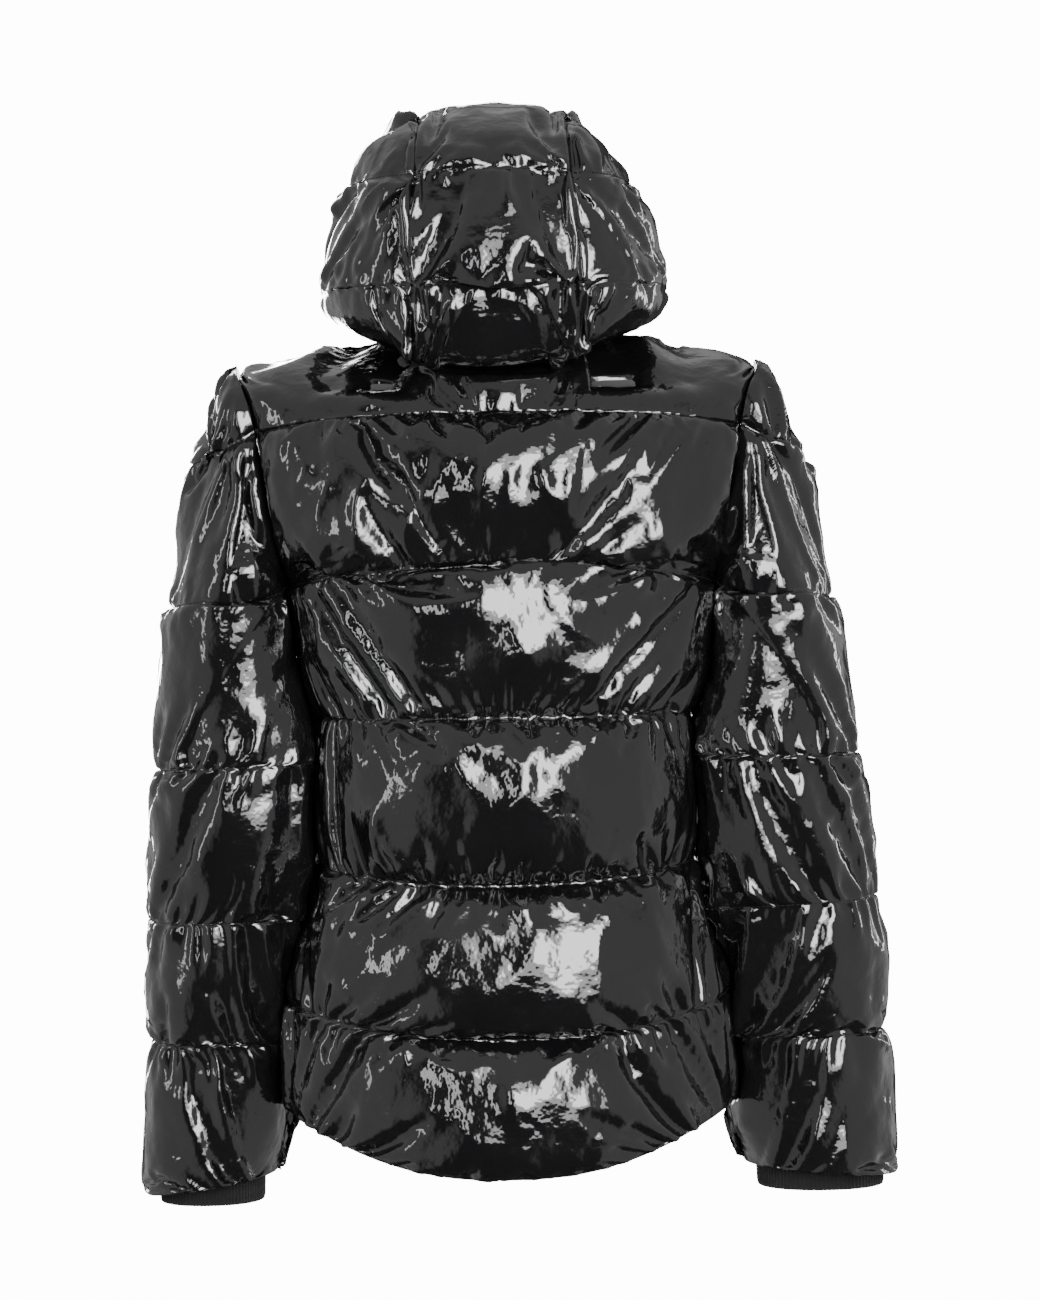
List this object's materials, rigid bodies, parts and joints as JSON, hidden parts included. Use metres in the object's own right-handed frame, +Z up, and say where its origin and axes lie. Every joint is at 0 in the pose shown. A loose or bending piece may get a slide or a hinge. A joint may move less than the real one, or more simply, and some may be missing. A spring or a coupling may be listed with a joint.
{
  "type": "hooded puffer jacket",
  "caption": "Hooded puffer jacket with quilted padded channels, centre-front zip and knitted storm cuffs, filled out as if worn with the arms hanging.",
  "frame": {"origin": "between the shoulders at the base of the neck, where the jacket is held", "axes": "+Z up along the back, +Y towards the jacket's back, +X towards the wearer's left"},
  "size_m": [0.642, 0.3033, 0.911],
  "materials": {
    "shell": "black wet-look gloss coating",
    "knit": "matt rib knit",
    "zip": "woven tape with moulded teeth",
    "metal": "black nickel"
  },
  "bodies": {
    "jacket": {"back": "shell", "back_yoke": "shell", "front_left": "shell", "front_right": "shell", "front_yoke_left": "shell", "front_yoke_right": "shell", "sleeve_cap_left": "shell", "sleeve_upper_left": "shell", "sleeve_lower_left": "shell", "sleeve_cap_right": "shell", "sleeve_upper_right": "shell", "sleeve_lower_right": "shell", "cuff_band_left": "knit", "cuff_band_right": "knit", "hood_side_left": "shell", "hood_side_right": "shell", "hood_centre": "shell", "zip": "zip", "zip_slider": "metal"},
    "pull": {"pull_tab": "metal"}
  },
  "joints": [
    {"name": "pull_tab_swing", "type": "hinge", "parent": "jacket", "child": "pull", "pos_m": [0, -0.09749, -0.0293], "axis": [-1, 0, 0], "range_deg": [0, 120]}
  ]
}
